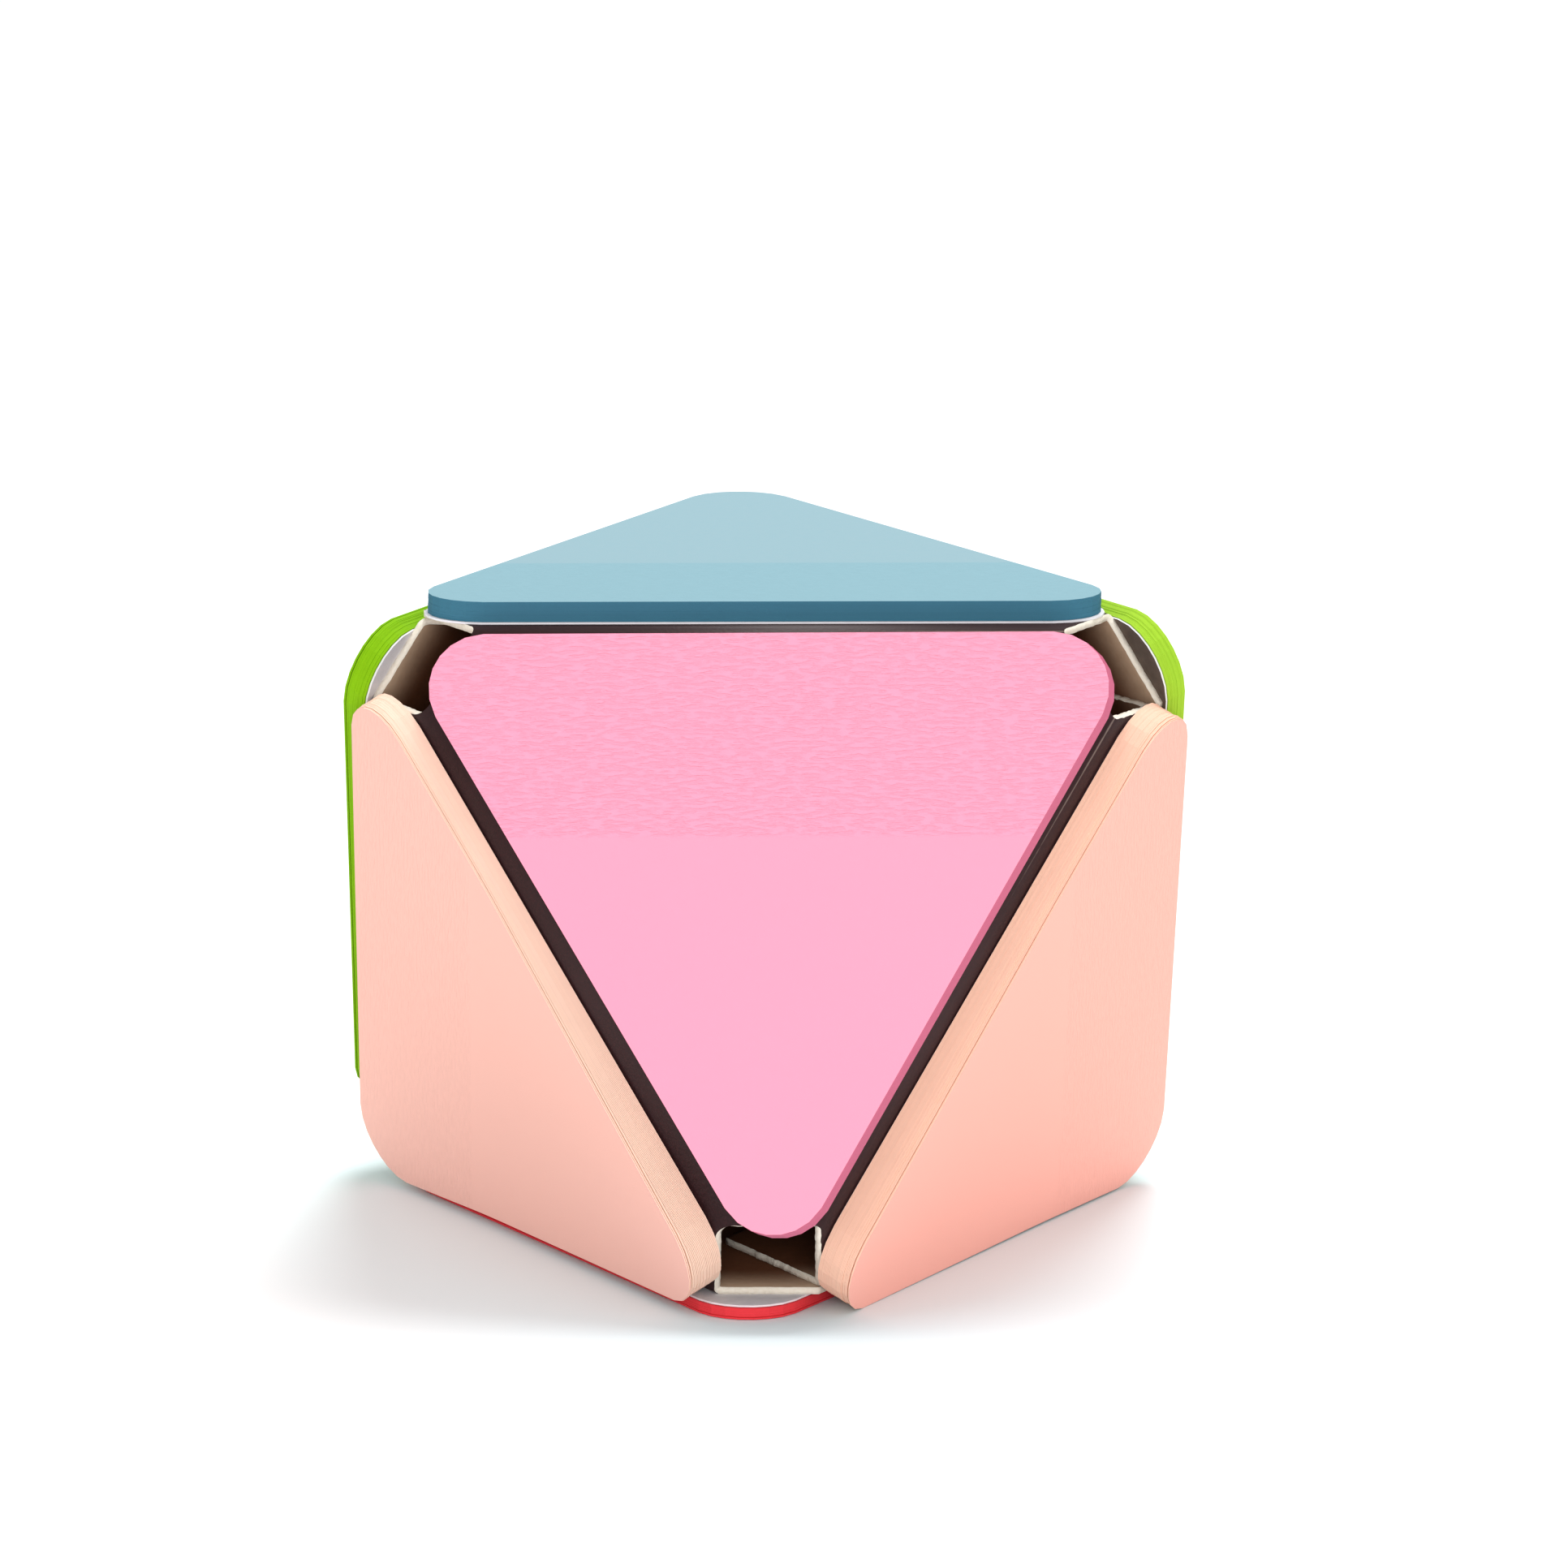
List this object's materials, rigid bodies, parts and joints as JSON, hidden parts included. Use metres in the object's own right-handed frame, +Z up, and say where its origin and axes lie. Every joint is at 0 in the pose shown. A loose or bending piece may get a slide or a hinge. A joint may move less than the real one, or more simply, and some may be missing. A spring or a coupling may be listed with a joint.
{
  "type": "desk note holder",
  "caption": "Hollow folded-board octahedron with open cut tips, lying on one face, with a pad of triangular sticky notes on every face; each top note peels up.",
  "frame": {"origin": "under the octahedron's centre, on the plane that the base pad rests on", "axes": "+Z up, +X to the right, the front face looks along -Y and up"},
  "size_m": [0.0952, 0.1026, 0.0769],
  "materials": {
    "charcoal_board": "matte charcoal paper face, cream cut edges, grey-brown inside",
    "white_backing": "plain white paper",
    "blue_paper": "uncoated coloured paper",
    "pink_paper": "uncoated coloured paper",
    "salmon_paper": "uncoated coloured paper",
    "green_paper": "uncoated coloured paper",
    "yellow_paper": "uncoated coloured paper",
    "red_paper": "uncoated coloured paper"
  },
  "bodies": {
    "holder": {"panel_top": "charcoal_board", "backing_sheet_top": "white_backing", "note_stack_top": "blue_paper", "top_note_band_top": "blue_paper", "panel_front": "charcoal_board", "backing_sheet_front": "white_backing", "note_stack_front": "pink_paper", "top_note_band_front": "pink_paper", "panel_front_left": "charcoal_board", "backing_sheet_front_left": "white_backing", "note_stack_front_left": "salmon_paper", "top_note_band_front_left": "salmon_paper", "panel_front_right": "charcoal_board", "backing_sheet_front_right": "white_backing", "note_stack_front_right": "salmon_paper", "top_note_band_front_right": "salmon_paper", "panel_back_left": "charcoal_board", "backing_sheet_back_left": "white_backing", "note_stack_back_left": "green_paper", "top_note_band_back_left": "green_paper", "panel_back_right": "charcoal_board", "backing_sheet_back_right": "white_backing", "note_stack_back_right": "green_paper", "top_note_band_back_right": "green_paper", "panel_back": "charcoal_board", "backing_sheet_back": "white_backing", "note_stack_back": "yellow_paper", "top_note_band_back": "yellow_paper", "panel_base": "charcoal_board", "backing_sheet_base": "white_backing", "note_stack_base": "red_paper", "top_note_band_base": "red_paper", "glue_flap_front_right_to_base": "charcoal_board", "glue_flap_front_right_to_back_right": "charcoal_board", "glue_flap_back_left_to_top": "charcoal_board", "glue_flap_back_right_to_back": "charcoal_board", "glue_flap_back_to_back_left": "charcoal_board"},
    "loose_note_top": {"top_note_tip_top": "blue_paper"},
    "loose_note_front": {"top_note_tip_front": "pink_paper"},
    "loose_note_front_left": {"top_note_tip_front_left": "salmon_paper"},
    "loose_note_front_right": {"top_note_tip_front_right": "salmon_paper"},
    "loose_note_back_left": {"top_note_tip_back_left": "green_paper"},
    "loose_note_back_right": {"top_note_tip_back_right": "green_paper"},
    "loose_note_back": {"top_note_tip_back": "yellow_paper"},
    "loose_note_base": {"top_note_tip_base": "red_paper"}
  },
  "joints": [
    {"name": "peel_top", "type": "hinge", "parent": "holder", "child": "loose_note_top", "pos_m": [-0.00085, 0.00028, 0.0767], "axis": [0.9995, 0.0332, 0], "range_deg": [0, 75], "stiffness_Nm_per_rad": 0.0002, "springref_deg": -20.05},
    {"name": "peel_front", "type": "hinge", "parent": "holder", "child": "loose_note_front", "pos_m": [0.00049, -0.03641, 0.05273], "axis": [-1, -0.0029, -0.0082], "range_deg": [0, 75], "stiffness_Nm_per_rad": 0.0002, "springref_deg": -20.05},
    {"name": "peel_front_left", "type": "hinge", "parent": "holder", "child": "loose_note_front_left", "pos_m": [-0.03319, -0.01765, 0.02549], "axis": [0.0081, 0.568, -0.823], "range_deg": [0, 75], "stiffness_Nm_per_rad": 0.0002, "springref_deg": -20.05},
    {"name": "peel_front_right", "type": "hinge", "parent": "holder", "child": "loose_note_front_right", "pos_m": [0.03414, -0.01648, 0.02437], "axis": [0, -0.5773, 0.8165], "range_deg": [0, 75], "stiffness_Nm_per_rad": 0.0002, "springref_deg": -20.05},
    {"name": "peel_back_left", "type": "hinge", "parent": "holder", "child": "loose_note_back_left", "pos_m": [-0.03255, 0.01691, 0.05207], "axis": [0.5059, 0.8623, 0.0197], "range_deg": [0, 75], "stiffness_Nm_per_rad": 0.0002, "springref_deg": -20.05},
    {"name": "peel_back_right", "type": "hinge", "parent": "holder", "child": "loose_note_back_right", "pos_m": [0.03244, 0.01574, 0.05279], "axis": [0.498, -0.8672, 0.0066], "range_deg": [0, 75], "stiffness_Nm_per_rad": 0.0002, "springref_deg": -20.05},
    {"name": "peel_back", "type": "hinge", "parent": "holder", "child": "loose_note_back", "pos_m": [-0.00048, 0.03616, 0.02301], "axis": [-0.9999, -0.0035, -0.0099], "range_deg": [0, 75], "stiffness_Nm_per_rad": 0.0002, "springref_deg": -20.05},
    {"name": "peel_base", "type": "hinge", "parent": "holder", "child": "loose_note_base", "pos_m": [-0.00147, -0.00238, 0.00017], "axis": [0.9998, -0.0175, 0], "range_deg": [0, 75], "stiffness_Nm_per_rad": 0.0002, "springref_deg": -20.05}
  ]
}
